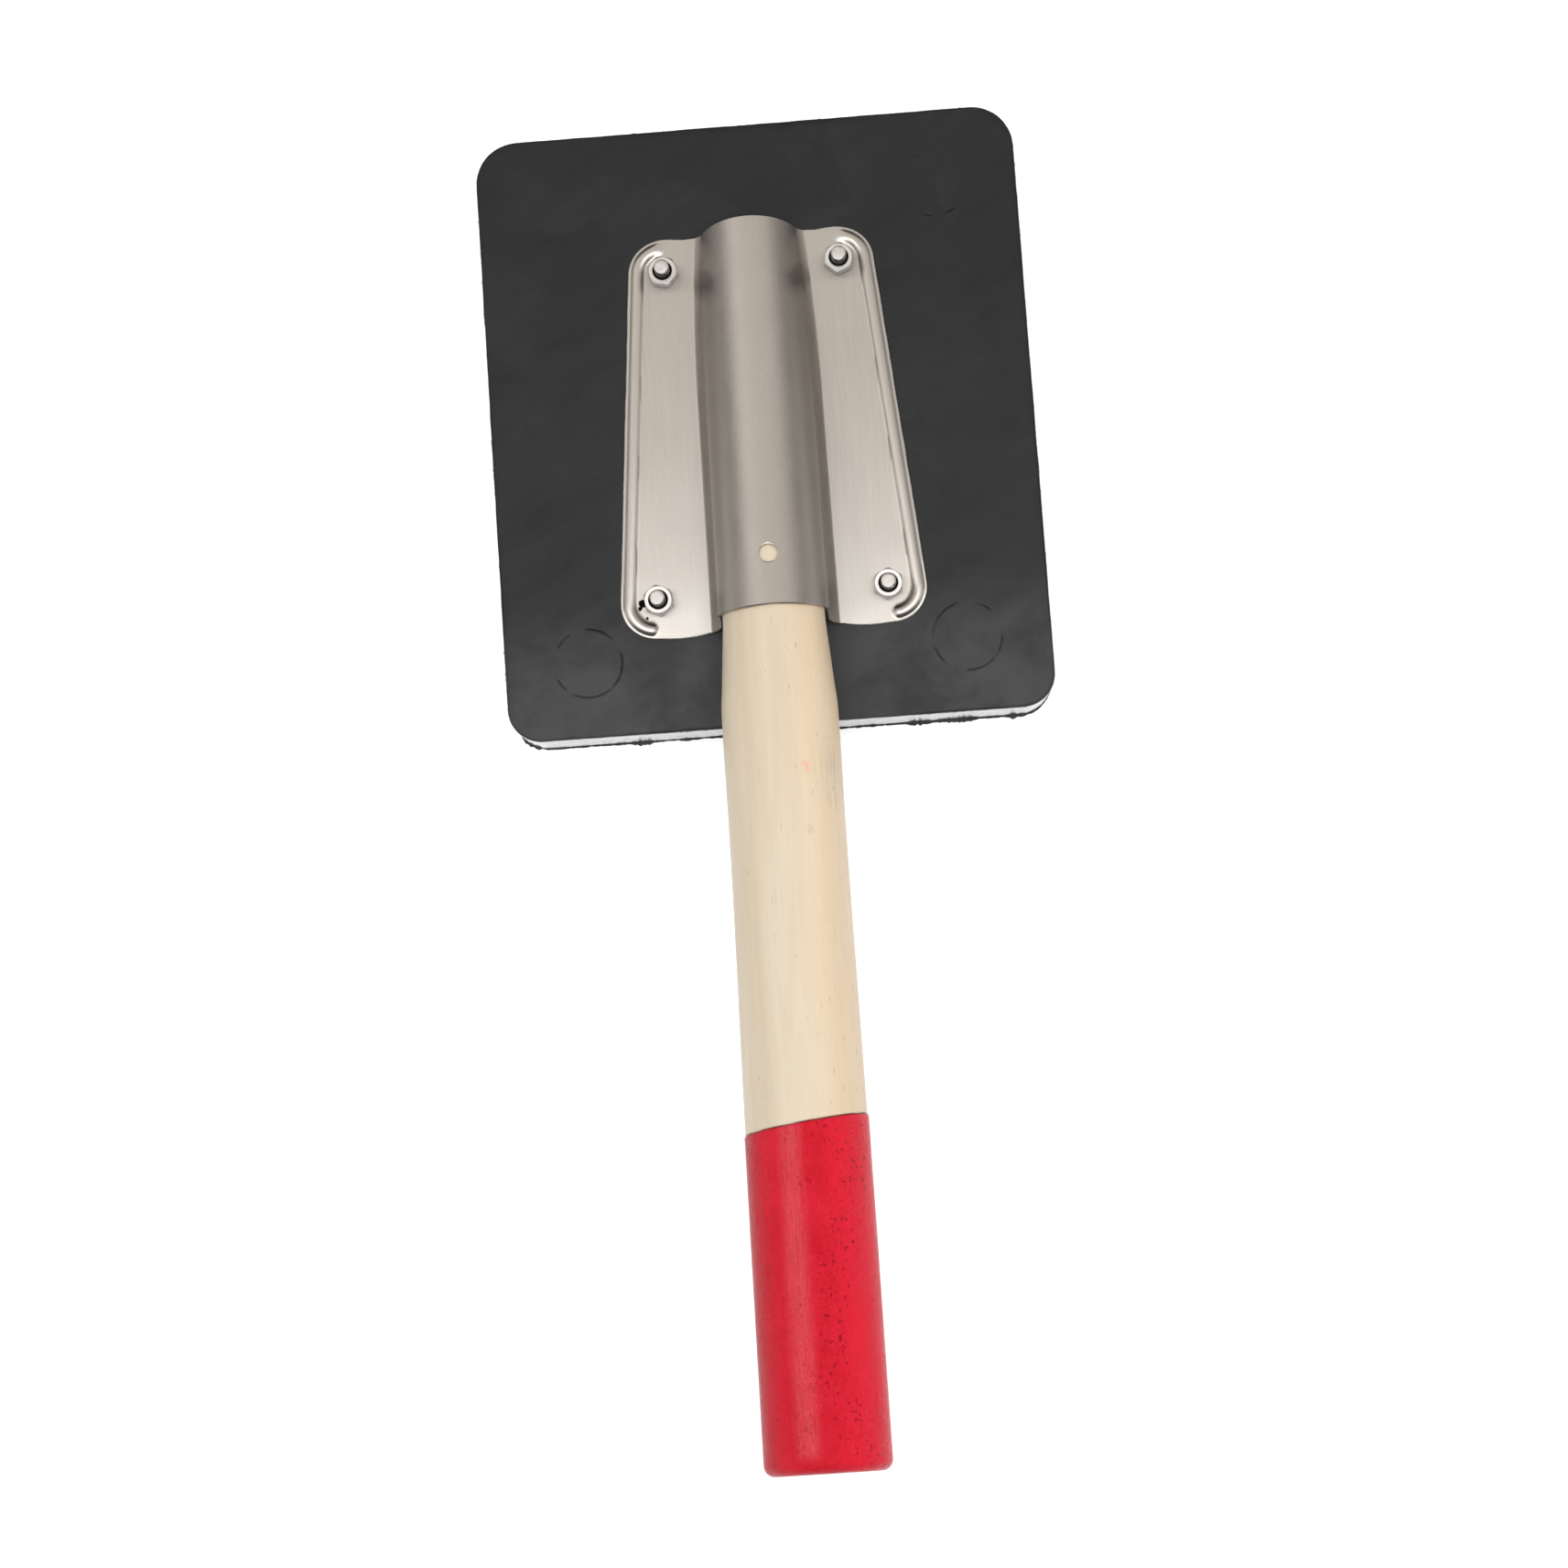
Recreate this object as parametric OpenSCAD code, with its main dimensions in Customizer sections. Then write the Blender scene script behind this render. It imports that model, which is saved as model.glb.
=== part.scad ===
// Tile float with a long handle. A thick rubber pad is moulded around a steel
// plate. Four studs stand out of the plate, and their nuts hold a pressed steel
// socket, which clamps the tapered tip of a straight wooden handle on the pad.
//
// Frame: origin at the centre of the pad's working face, +Z up from that face,
// +Y away from the handle. "Far" is the +Y end, "near" is the handle's end.

/* [Pad] */
// Width of the rubber pad, across the handle
pad_w = 160; // [140:1:220]
// Length of the rubber pad, along the handle
pad_l = 180; // [150:1:240]
// Thickness of the rubber pad
pad_t = 20; // [17:0.5:30]
// Radius of the pad's two near corners, seen from above
pad_near_corner_r = 10; // [4:0.5:16]
// Radius of the pad's two far corners, seen from above
pad_far_corner_r = 12.5; // [4:0.5:16]
// Rounding of the pad's top and bottom edges
pad_edge_r = 0.8; // [0.3:0.1:1.5]

/* [Plate inside the pad] */
// Width of the plate
plate_w = 130; // [80:1:132]
// Length of the plate
plate_l = 142; // [120:1:142]
// Thickness of the plate
plate_t = 2; // [1:0.5:3]
// Height of the plate's underside above the working face
plate_z = 9; // [6:0.5:11]
// Radius of the plate's corners
plate_corner_r = 6; // [2:0.5:12]

/* [Studs and nuts] */
// Distance of the far studs from the middle plane
stud_far_x = 26; // [25:0.25:26.5]
// Place of the far studs along the pad
stud_far_y = 46; // [44:0.25:46.5]
// Distance of the near studs from the middle plane
stud_near_x = 33.5; // [30:0.25:34.5]
// Place of the near studs along the pad
stud_near_y = -51.5; // [-53:0.25:-48]
// Diameter of a stud
stud_d = 5; // [4:0.5:5]
// Height of a stud's end above its nut
stud_proud = 4; // [1:0.5:8]
// Diameter of a stud's head, under the plate
head_d = 12; // [8:0.5:16]
// Thickness of a stud's head
head_h = 2.5; // [1.5:0.5:4]
// Size of a nut across its flats
nut_af = 8; // [7:0.5:8]
// Height of a nut
nut_h = 4; // [3:0.25:5]

/* [Socket bracket] */
// Thickness of the sheet
sheet_t = 1; // [0.8:0.1:1.2]
// Width of the flanges at the far edge
flange_far_w = 70.6; // [70:0.2:76]
// Width of the flanges at the near edge
flange_near_w = 91; // [88:0.5:96]
// Place of the far edge
flange_far_y = 56; // [55.5:0.25:60]
// Place of the near edge
flange_near_y = -62.2; // [-66:0.2:-61]
// Radius of the flanges' corners
flange_corner_r = 10; // [9.5:0.25:11]
// Inside radius of the socket
socket_r = 14.7; // [13:0.1:15]
// Concave radius between socket and flange at the near edge
fillet_near_r = 3.2; // [2.5:0.1:3.5]
// Concave radius between socket and flange at the far edge
fillet_far_r = 2.6; // [2:0.1:2.8]
// Backward lean of the socket's mouth, from flange to crown
mouth_lean = 4.7; // [0:0.1:10]
// Forward lean of the socket's far end, from flange to crown
toe_lean = 15; // [0:0.5:20]
// Distance from a flange's edge to the middle of its bead
bead_inset = 2.2; // [2.1:0.1:2.4]
// Width of a bead
bead_w = 3.6; // [2.4:0.1:4]
// Height of a bead above the flange
bead_rise = 0.9; // [0.6:0.1:1.2]
// Distance from the middle plane to a bead's far end
bead_far_end_x = 24.8; // [24:0.1:28]
// Distance from the middle plane to a bead's near end
bead_near_end_x = 34.3; // [33:0.1:37]
// Diameter of the screw hole in the socket's crown
crown_hole_d = 5.5; // [4:0.5:6]
// Distance from the mouth to the screw hole, along the handle
crown_hole_in = 15.2; // [10:0.2:25]

/* [Handle] */
// Rise of the handle above the pad's plane, in degrees
handle_tilt = 10; // [9:0.25:11]
// Height of the handle's axis above the pad's top, at the socket's mouth
mouth_axis_h = 16.1; // [15:0.1:18]
// Radius of the handle's waist, from the shoulder to the middle of the bare wood
waist_r = 16.35; // [15.5:0.05:16.5]
// Distance from the socket's mouth to the end of the waist
waist_end = 70; // [50:1:100]
// Radius of the wood under the coat, where the hand holds it
grip_r = 16.6; // [16.5:0.05:17.5]
// Length from the socket's mouth to the handle's end, along the handle
reach = 235.4; // [200:0.2:300]
// Length of the tip inside the socket
tip_l = 106; // [80:1:110]
// Length of the shoulder between the tip and the waist
shoulder_l = 27; // [15:1:40]
// Rounding of the handle's free end
end_round_r = 3; // [1:0.5:5]
// Length of the handle that the coat covers, along its middle
coat_l = 91.2; // [60:0.2:120]
// Thickness of the coat
coat_t = 0.4; // [0.3:0.1:0.8]
// Sideways slant of the coat's edge, in degrees
coat_skew = 6.8; // [0:0.2:10]
// Upward slant of the coat's edge, in degrees
coat_rise = 3.8; // [0:0.2:8]

/* [Hidden] */
$fn = 96;

// corners of the bolt pattern: name, x, y, and the turn of the nut, in degrees
CORNERS = [
    ["far_left", -stud_far_x, stud_far_y, 48],
    ["far_right", stud_far_x, stud_far_y, 19],
    ["near_left", -stud_near_x, stud_near_y, 37],
    ["near_right", stud_near_x, stud_near_y, 26]
];

gap = 0.1;                                    // play between tip and socket
past = 1;                                     // how far a cutter passes a face
flange_top_z = pad_t + sheet_t;
nut_top_z = flange_top_z + nut_h;
stud_top_z = nut_top_z + stud_proud;
stud_hole_d = stud_d + 0.5;                   // clearance hole in the flange
plate_hole_d = stud_d + 0.2;                  // close hole in the plate
stud_chamfer = 0.6;                           // at the stud's end
nut_chamfer = 30;                             // degrees, on both faces
nut_sink = 0.4;                               // countersink at the top of a nut's bore
socket_outer_r = socket_r + sheet_t;
tip_r = socket_r - gap;
tip_chamfer = 1.5;                            // around the tip's end
axis_z = pad_t + mouth_axis_h;
toe_axis_drop = (flange_far_y - flange_near_y) * tan(handle_tilt);
side_slant = atan((flange_near_w - flange_far_w) / 2 / (flange_far_y - flange_near_y));
crown_top_z = axis_z + socket_outer_r + 2;    // just above the crown at the mouth
coat_start = reach - coat_l;
grip_start = coat_start - 4;                  // where the wood reaches its full radius

// height at which the socket's outer wall stands above the flange at y
function axis_above_flange(y) = axis_z - flange_top_z - (y - flange_near_y) * tan(handle_tilt);
// half width of the socket's outer face, h above the flange, at y
function wall_x(y, h) =
    let (below = max(0, h - axis_above_flange(y)))
    sqrt(pow(socket_outer_r, 2) - pow(below, 2));
// half width of the flanges at y
function side_x(y) = flange_far_w / 2 + (flange_far_y - y) * tan(side_slant);
// centre of a flange's rounded corner: end is +1 at the far edge, -1 at the near one
function corner_y(end) = end > 0 ? flange_far_y - flange_corner_r : flange_near_y + flange_corner_r;
function corner_x(end) = side_x(corner_y(end)) - flange_corner_r / cos(side_slant);
// a point r away from a corner's centre, in the direction a
function corner_point(end, r, a) = [corner_x(end) + r * cos(a), corner_y(end) + r * sin(a)];

// ---- shared shapes ----

// Rectangle with round corners, centred on the origin.
module rounded_rect(w, l, r) {
    square([w - 2 * r, l], center = true);
    square([w, l - 2 * r], center = true);
    for (x = [-1, 1], y = [-1, 1])
        translate([x * (w / 2 - r), y * (l / 2 - r)]) circle(r);
}

// Slab on z = 0 with softened top and bottom edges, and round corners that have
// the radius near_r at its -Y end and far_r at its +Y end.
module soft_slab(w, l, t, near_r, far_r, edge) {
    translate([0, l / 2 - far_r, t / 2])
        rotate([90, 0, 0]) linear_extrude(l - near_r - far_r) rounded_rect(w, t, edge);
    for (end = [[-1, near_r], [1, far_r]]) {
        r = end[1];
        translate([r - w / 2, 0, t / 2]) rotate([90, 0, 90]) linear_extrude(w - 2 * r) intersection() {
            rounded_rect(l, t, edge);
            translate([end[0] * l / 2, 0]) square([l, 2 * t], center = true);
        }
        for (x = [-1, 1])
            translate([x * (w / 2 - r), end[0] * (l / 2 - r), t / 2]) rotate_extrude() intersection() {
                rounded_rect(2 * r, t, edge);
                translate([0, -t]) square([r + past, 2 * t]);
            }
    }
}

// Turns a shape whose +Z is along the handle, towards its free end, and whose
// +Y is up, and sets its origin on the handle's axis at the socket's mouth.
module along_handle() {
    translate([0, flange_near_y, axis_z]) rotate([90 - handle_tilt, 0, 0]) children();
}

// A headed stud, standing up from under the plate. It also cuts its own place in the pad.
module stud_shape() {
    translate([0, 0, plate_z - head_h]) cylinder(d = head_d, h = head_h);
    translate([0, 0, plate_z]) cylinder(d = stud_d, h = stud_top_z - stud_chamfer - plate_z);
    translate([0, 0, stud_top_z - stud_chamfer])
        cylinder(d1 = stud_d, d2 = stud_d - 2 * stud_chamfer, h = stud_chamfer);
}

module at_corner(i) {
    translate([CORNERS[i][1], CORNERS[i][2], 0]) children();
}

// ---- pad, plate, studs and nuts ----

module rubber_pad() {
    color("#3a3b3b") difference() {
        soft_slab(pad_w, pad_l, pad_t, pad_near_corner_r, pad_far_corner_r, pad_edge_r);
        plate_blank();
        for (i = [0 : 3]) at_corner(i) stud_shape();
    }
}

module plate_blank() {
    translate([0, 0, plate_z]) linear_extrude(plate_t) rounded_rect(plate_w, plate_l, plate_corner_r);
}

module insert_plate() {
    color("#8f9396") difference() {
        plate_blank();
        for (i = [0 : 3]) at_corner(i)
            translate([0, 0, plate_z - past]) cylinder(d = plate_hole_d, h = plate_t + 2 * past);
    }
}

module stud(i) {
    color("#c9c6c0") at_corner(i) stud_shape();
}

module nut(i) {
    corner_r = nut_af / 2 / cos(30);
    bevel_h = (corner_r - nut_af / 2) * tan(nut_chamfer);
    color("#d6d3cd") at_corner(i) translate([0, 0, flange_top_z]) difference() {
        intersection() {
            rotate([0, 0, CORNERS[i][3]]) cylinder(r = corner_r, h = nut_h, $fn = 6);
            rotate_extrude() polygon([
                [0, 0], [nut_af / 2, 0], [corner_r, bevel_h],
                [corner_r, nut_h - bevel_h], [nut_af / 2, nut_h], [0, nut_h]
            ]);
        }
        translate([0, 0, -past]) cylinder(d = stud_d, h = nut_h + 2 * past);
        translate([0, 0, nut_h - nut_sink])
            cylinder(d1 = stud_d, d2 = stud_d + 4 * nut_sink, h = 2 * nut_sink);
    }
}

// ---- socket bracket ----

// Outline of the flanges, drawn in by inset: two slanted sides, round corners.
module flange_outline(inset) {
    r = flange_corner_r - inset;
    half = [
        corner_point(-1, r, -90), corner_point(-1, r, side_slant),
        corner_point(1, r, side_slant), corner_point(1, r, 90)
    ];
    polygon(concat(half, [for (i = [3 : -1 : 0]) [-half[i][0], half[i][1]]]));
    for (end = [1, -1], side = [1, -1])
        translate([side * corner_x(end), corner_y(end)]) circle(r);
}

// Pressed beads along the flanges' sides, which curl around the nuts' corners.
module beads() {
    inner_inset = bead_inset + bead_w / 2;
    translate([0, 0, pad_t]) linear_extrude(sheet_t + bead_rise) difference() {
        flange_outline(bead_inset - bead_w / 2);
        flange_outline(inner_inset);
        polygon([
            [-bead_far_end_x, pad_l], [-bead_far_end_x, flange_far_y],
            [-bead_near_end_x, flange_near_y], [-bead_near_end_x, -pad_l],
            [bead_near_end_x, -pad_l], [bead_near_end_x, flange_near_y],
            [bead_far_end_x, flange_far_y], [bead_far_end_x, pad_l]
        ]);
    }
}

// Inverted U of radius r along the handle's axis, longer than the bracket.
module socket_shape(r) {
    drop = socket_outer_r + toe_axis_drop;
    along_handle()
        translate([0, 0, -2 * tip_l]) linear_extrude(3 * tip_l) {
            circle(r);
            translate([-r, -drop]) square([2 * r, drop]);
        }
}

// What is left between the leaning cuts at the socket's two ends, above the pad.
module between_ends() {
    rise = crown_top_z - flange_top_z;
    translate([-pad_w / 2, 0, 0]) rotate([90, 0, 90]) linear_extrude(pad_w) polygon([
        [flange_near_y, pad_t], [flange_far_y, pad_t], [flange_far_y, flange_top_z],
        [flange_far_y + rise * tan(toe_lean), crown_top_z],
        [flange_near_y + rise * tan(mouth_lean), crown_top_z],
        [flange_near_y, flange_top_z]
    ]);
}

// Concave corner between the socket's wall and the flange, on the +X side: a low
// wedge, hollowed by a cone whose radius shrinks towards the far edge.
module fillet() {
    lift = 0.03;                              // keeps the thin edge a real face
    near_x = wall_x(flange_near_y, fillet_near_r) + fillet_near_r;
    far_x = wall_x(flange_far_y, fillet_far_r) + fillet_far_r;
    from = [near_x, flange_near_y, flange_top_z + fillet_near_r + lift];
    to = [far_x, flange_far_y, flange_top_z + fillet_far_r + lift];
    run = to - from;
    turn = [0, acos(run[2] / norm(run)), atan2(run[1], run[0])];
    difference() {
        intersection() {
            translate([0, 0, pad_t]) linear_extrude(sheet_t + fillet_near_r) polygon([
                [0, flange_near_y], [near_x, flange_near_y], [far_x, flange_far_y], [0, flange_far_y]
            ]);
            rotate([90, 0, 90]) linear_extrude(pad_w) polygon([
                [flange_near_y, pad_t], [flange_far_y, pad_t],
                [flange_far_y, flange_top_z + fillet_far_r],
                [flange_near_y, flange_top_z + fillet_near_r]
            ]);
        }
        translate(from - run) rotate(turn)
            cylinder(r1 = 2 * fillet_near_r - fillet_far_r, r2 = 2 * fillet_far_r - fillet_near_r,
                     h = 3 * norm(run));
    }
}

module socket_bracket() {
    color("#c1b7ac") difference() {
        union() {
            translate([0, 0, pad_t]) linear_extrude(sheet_t) flange_outline(0);
            beads();
            intersection() {
                socket_shape(socket_outer_r);
                between_ends();
            }
            for (side = [0, 1]) mirror([side, 0, 0]) fillet();
        }
        socket_shape(socket_r);
        for (i = [0 : 3]) at_corner(i)
            translate([0, 0, pad_t - past]) cylinder(d = stud_hole_d, h = sheet_t + 2 * past);
        along_handle() translate([0, 0, -crown_hole_in])
            rotate([-90, 0, 0]) cylinder(d = crown_hole_d, h = 2 * socket_r);
    }
}

// ---- handle ----

// A rod of radius r along +Z, from z = 0 to z = end, with its end's edge rounded.
module round_ended_rod(r, end, round_r) {
    rotate_extrude() {
        polygon([[0, 0], [r, 0], [r, end - round_r], [r - round_r, end], [0, end]]);
        intersection() {
            translate([r - round_r, end - round_r]) circle(round_r);
            translate([0, end - 2 * round_r]) square([r + past, 2 * round_r + past]);
        }
    }
}

// A skin over the free end of the handle, its edge cut off on a slant.
module dip_coat() {
    color("#d8202c") along_handle() difference() {
        round_ended_rod(grip_r + coat_t, reach, end_round_r);
        round_ended_rod(grip_r, reach - coat_t, end_round_r - coat_t);
        translate([0, 0, coat_start]) rotate([coat_rise, coat_skew, 0])
            translate([-pad_w / 2, -pad_w / 2, -2 * reach]) cube([pad_w, pad_w, 2 * reach]);
    }
}

// The turned wood: a parallel tip that is flat where it lies on the pad, a shoulder,
// a waist, and a grip that swells slightly towards the coat.
module handle() {
    color("#e8d5b5") difference() {
        along_handle() {
            rotate_extrude() polygon([
                [0, -tip_l], [tip_r - tip_chamfer, -tip_l], [tip_r, tip_chamfer - tip_l], [tip_r, 0],
                [waist_r, shoulder_l], [waist_r, waist_end], [grip_r, grip_start], [0, grip_start]
            ]);
            translate([0, 0, grip_start])
                round_ended_rod(grip_r, reach - coat_t - grip_start, end_round_r - coat_t);
        }
        translate([-pad_w / 2, -pad_l, -pad_t]) cube([pad_w, 2 * pad_l, 2 * pad_t]);
    }
}

rubber_pad();
insert_plate();
socket_bracket();
handle();
dip_coat();
for (i = [0 : 3]) {
    stud(i);
    nut(i);
}
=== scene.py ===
"""The looks of the grout float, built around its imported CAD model.

Every size is in millimetres until make_mesh() turns it into metres. The pad's size and
the place of each stud and nut come from the CAD boxes. The other sizes repeat the CAD's
own, except where a comment or a docstring says what is added here.
"""
import math

import bmesh
import bpy
import numpy as np
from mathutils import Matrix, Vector, noise
from mathutils.geometry import delaunay_2d_cdt


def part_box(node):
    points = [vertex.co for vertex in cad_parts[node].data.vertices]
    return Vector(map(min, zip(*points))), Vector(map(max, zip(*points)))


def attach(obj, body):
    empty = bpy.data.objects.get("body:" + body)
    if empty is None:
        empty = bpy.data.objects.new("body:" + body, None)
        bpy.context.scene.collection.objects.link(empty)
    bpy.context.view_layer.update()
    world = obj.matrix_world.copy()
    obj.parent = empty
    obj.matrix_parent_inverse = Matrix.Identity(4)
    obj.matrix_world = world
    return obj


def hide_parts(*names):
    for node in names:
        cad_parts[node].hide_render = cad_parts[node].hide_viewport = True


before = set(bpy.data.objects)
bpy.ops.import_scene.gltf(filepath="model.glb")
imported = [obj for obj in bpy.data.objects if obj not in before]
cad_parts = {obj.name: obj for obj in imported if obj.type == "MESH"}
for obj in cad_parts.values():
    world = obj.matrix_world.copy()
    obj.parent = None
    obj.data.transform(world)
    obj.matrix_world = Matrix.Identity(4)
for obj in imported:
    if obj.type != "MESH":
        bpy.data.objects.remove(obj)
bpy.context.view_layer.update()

MM = 0.001


# ---------------------------------------------------------------- the frame

def cad_box(node):
    """Lowest and highest corner of a CAD node, in millimetres."""
    low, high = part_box(node)
    return np.array(low) / MM, np.array(high) / MM


PAD_LOW, PAD_HIGH = cad_box("rubber_pad")
PAD_W, PAD_L, PAD_T = PAD_HIGH - PAD_LOW
PAD_NEAR_CORNER = 10.0                 # corner radii, seen from above
PAD_FAR_CORNER = 12.5

# studs and nuts
CORNERS = ("far_left", "far_right", "near_left", "near_right")
NUT_TURN = {"far_left": 48, "far_right": 19, "near_left": 37, "near_right": 26}    # degrees
STUD_D = 5.0
STUD_HEAD_T = 2.5
THREAD_PITCH = 0.8
NUT_AF = 8.0                           # across the flats

# socket bracket
SHEET_T = 1.0
FLANGE_TOP = PAD_T + SHEET_T
FLANGE_FAR_Y = 56.0
FLANGE_NEAR_Y = cad_box("socket_bracket")[0][1]
FLANGE_FAR_W, FLANGE_NEAR_W = 70.6, 91.0
FLANGE_R = 10.0
SOCKET_R = 15.7                        # outside radius of the socket
STUD_HOLE_R = 2.75                     # in the flanges
HOLE_IN, HOLE_R = 15.2, 2.75           # the crown's screw hole: distance from the mouth, radius
MOUTH_LEAN = math.tan(math.radians(4.7))      # how far the socket's near and far edges
TOE_LEAN = math.tan(math.radians(15))         # lean away from the handle as they rise

# handle: its axis leaves the socket's mouth and rises away from the pad
TILT = math.radians(10)
MOUTH = np.array([0.0, FLANGE_NEAR_Y, PAD_T + 16.1])
OUTWARD = np.array([0.0, -math.cos(TILT), math.sin(TILT)])
UPWARD = np.array([0.0, math.sin(TILT), math.cos(TILT)])
WAIST_R, GRIP_R = 16.35, 16.6          # radius after the shoulder, and under the coat
REACH = 235.4                          # from the mouth to the free end
TIP_L = 106.0                          # inside the socket
END_ROUND = 3.0                        # rounding of the free end
COAT_T = 0.4
COAT_START = 144.2                     # where the coat's edge crosses the axis
COAT_SKEW = 0.119                      # how far that edge slants sideways,
COAT_RISE = 0.066                      # and upwards, in mm per mm


# ---------------------------------------------------------------- helpers

def make_mesh(name, points, faces, sharp_angle=35):
    """A smooth-shaded object from points in mm, with edges past sharp_angle kept crisp."""
    mesh = bpy.data.meshes.new(name)
    mesh.from_pydata((np.asarray(points, float) * MM).tolist(), [], faces)
    mesh.validate()
    obj = bpy.data.objects.new(name, mesh)
    bpy.context.scene.collection.objects.link(obj)
    tidy_shading(obj, sharp_angle)
    return obj


def tidy_shading(obj, sharp_angle):
    """Outward normals, smooth faces and crisp edges past sharp_angle degrees."""
    bm = bmesh.new()
    bm.from_mesh(obj.data)
    bmesh.ops.recalc_face_normals(bm, faces=bm.faces)
    bm.to_mesh(obj.data)
    bm.free()
    obj.data.shade_smooth()
    obj.data.set_sharp_from_angle(angle=math.radians(sharp_angle))


def grid_faces(rows, columns, wrap_rows=False, wrap_columns=False, start=0):
    """Quads between neighbouring rows and columns of points stored row by row."""
    faces = []
    for i in range(rows if wrap_rows else rows - 1):
        for j in range(columns if wrap_columns else columns - 1):
            a, b = i, (i + 1) % rows
            c, d = j, (j + 1) % columns
            faces.append((start + a * columns + c, start + a * columns + d,
                          start + b * columns + d, start + b * columns + c))
    return faces


def smoothstep(low, high, x):
    """0 up to low, 1 from high on, and a smooth rise between. low may be the larger."""
    t = np.clip((np.asarray(x, float) - low) / (high - low), 0, 1)
    return t * t * (3 - 2 * t)


def wobble(points, size, seed=0.0):
    """Smooth noise from -1 to 1 at each point, with features about size mm wide."""
    places = np.atleast_2d(points) / size + [seed, -seed, 0]
    return np.array([noise.noise(Vector(p)) for p in places])


def place(obj, material, slot, *nodes, second=None, where=None):
    """Gives a finished piece its material and hangs it on the frame. The faces for which
    where(centre in mm, normal) is true get the second material."""
    obj.data.materials.clear()
    obj.data.materials.append(material)
    if second:
        obj.data.materials.append(second)
        for face in obj.data.polygons:
            face.material_index = int(where(face.center / MM, face.normal))
    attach(obj, "root")
    if nodes:
        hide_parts(*nodes)
    return obj


def cut(obj, cutter):
    """Cuts cutter out of obj for good, and removes it."""
    modifier = obj.modifiers.new("cut", "BOOLEAN")
    modifier.operation = "DIFFERENCE"
    modifier.solver = "EXACT"
    modifier.object = cutter
    graph = bpy.context.evaluated_depsgraph_get()
    result = bpy.data.meshes.new_from_object(obj.evaluated_get(graph))
    obj.modifiers.clear()
    obj.data = result
    bpy.data.objects.remove(cutter)


def close_ends(points, faces, steps, ends):
    """Fills rows of a turned grid. ends holds each row's number and its centre's z."""
    for row, z in ends:
        points = np.vstack([points, [0, 0, z]])
        centre, base = len(points) - 1, row * steps
        faces += [(centre, base + k, base + (k + 1) % steps) for k in range(steps)]
    return points, faces


def lathe(profile, steps):
    """Points and faces of a closed solid turned about Z, from (radius, z) pairs that
    start and end on the axis."""
    angles = np.linspace(0, 2 * math.pi, steps, endpoint=False)
    body = profile[1:-1]
    points = [(r * math.cos(a), r * math.sin(a), z) for r, z in body for a in angles]
    faces = grid_faces(len(body), steps, wrap_columns=True)
    ends = ((0, profile[0][1]), (len(body) - 1, profile[-1][1]))
    return close_ends(points, faces, steps, ends)


def on_handle(points):
    """Moves points from the handle's own frame, (across, up, along), to the row's frame."""
    across, up, along = np.asarray(points, float).T
    return MOUTH + np.outer(across, [1, 0, 0]) + np.outer(up, UPWARD) + np.outer(along, OUTWARD)


# ---------------------------------------------------------------- materials

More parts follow.
